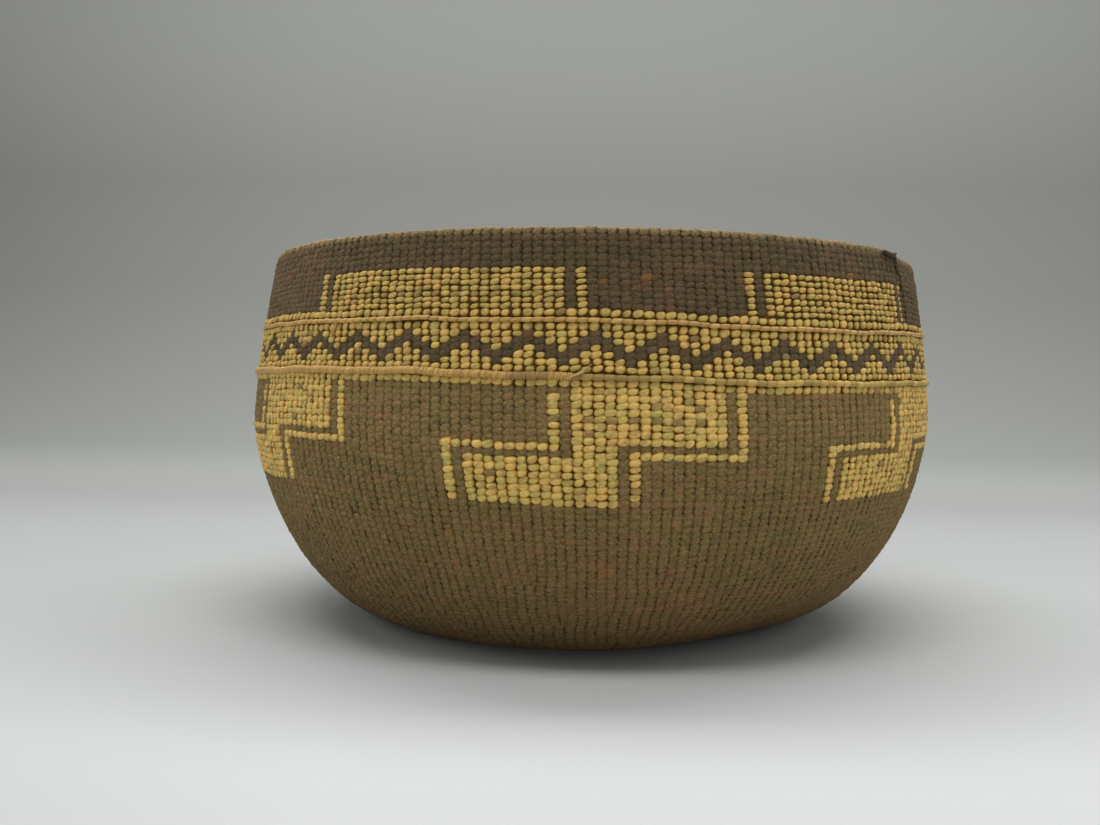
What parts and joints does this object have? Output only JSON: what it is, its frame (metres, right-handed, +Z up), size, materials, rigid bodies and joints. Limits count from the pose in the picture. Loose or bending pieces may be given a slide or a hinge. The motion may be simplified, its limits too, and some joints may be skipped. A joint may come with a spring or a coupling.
{
  "type": "twined bowl basket",
  "caption": "Open round bowl basket of twined plant fibre, with two reinforcing rods lashed round the outside and a pale geometric overlay of steps, zigzag and blocks.",
  "frame": {"origin": "centre of the bowl on the surface it stands on", "axes": "+Z up along the bowl's axis, -Y towards the middle step motif"},
  "size_m": [0.2512, 0.2514, 0.1299],
  "materials": {
    "root_weft": "matt brown conifer root, twined",
    "rim_weft": "matt, worn pale along the edge",
    "grass_overlay": "satin straw-coloured grass",
    "rod_lashing": "satin golden root strand",
    "warp_stick": "peeled hazel shoot",
    "mend_cord": "dark matt cord"
  },
  "bodies": {
    "root": {"base_courses": "root_weft", "block_1": "grass_overlay", "block_2": "grass_overlay", "block_3": "grass_overlay", "block_4": "grass_overlay", "block_5": "grass_overlay", "block_band_courses": "root_weft", "heel_courses": "root_weft", "left_flank_1": "grass_overlay", "left_flank_2": "grass_overlay", "left_flank_3": "grass_overlay", "left_flank_4": "grass_overlay", "left_flank_5": "grass_overlay", "left_outline_1": "grass_overlay", "left_outline_2": "grass_overlay", "left_outline_3": "grass_overlay", "left_outline_4": "grass_overlay", "left_outline_5": "grass_overlay", "left_outline_6": "grass_overlay", "lower_border_overlay": "grass_overlay", "lower_rod": "warp_stick", "lower_rod_lashing": "rod_lashing", "lower_start_warp_1": "warp_stick", "lower_start_warp_2": "warp_stick", "lower_start_warp_3": "warp_stick", "lower_start_warp_4": "warp_stick", "lower_wall_courses": "root_weft", "mend_cord": "mend_cord", "mend_knot": "mend_cord", "right_flank_1": "grass_overlay", "right_flank_2": "grass_overlay", "right_flank_3": "grass_overlay", "right_flank_4": "grass_overlay", "right_flank_5": "grass_overlay", "right_outline_1": "grass_overlay", "right_outline_2": "grass_overlay", "right_outline_3": "grass_overlay", "right_outline_4": "grass_overlay", "right_outline_5": "grass_overlay", "right_outline_6": "grass_overlay", "rim_courses": "root_weft", "rim_edge_course": "rim_weft", "start_courses": "root_weft", "stepped_band_courses": "root_weft", "stepped_motif_1": "grass_overlay", "stepped_motif_2": "grass_overlay", "stepped_motif_3": "grass_overlay", "stepped_motif_4": "grass_overlay", "stepped_motif_5": "grass_overlay", "stepped_motif_6": "grass_overlay", "upper_border_overlay": "grass_overlay", "upper_rod": "warp_stick", "upper_rod_lashing": "rod_lashing", "upper_start_warp_1": "warp_stick", "upper_start_warp_2": "warp_stick", "upper_start_warp_3": "warp_stick", "upper_start_warp_4": "warp_stick", "zigzag_band_courses": "root_weft", "zigzag_lower_overlay": "grass_overlay", "zigzag_upper_overlay": "grass_overlay"}
  },
  "joints": []
}
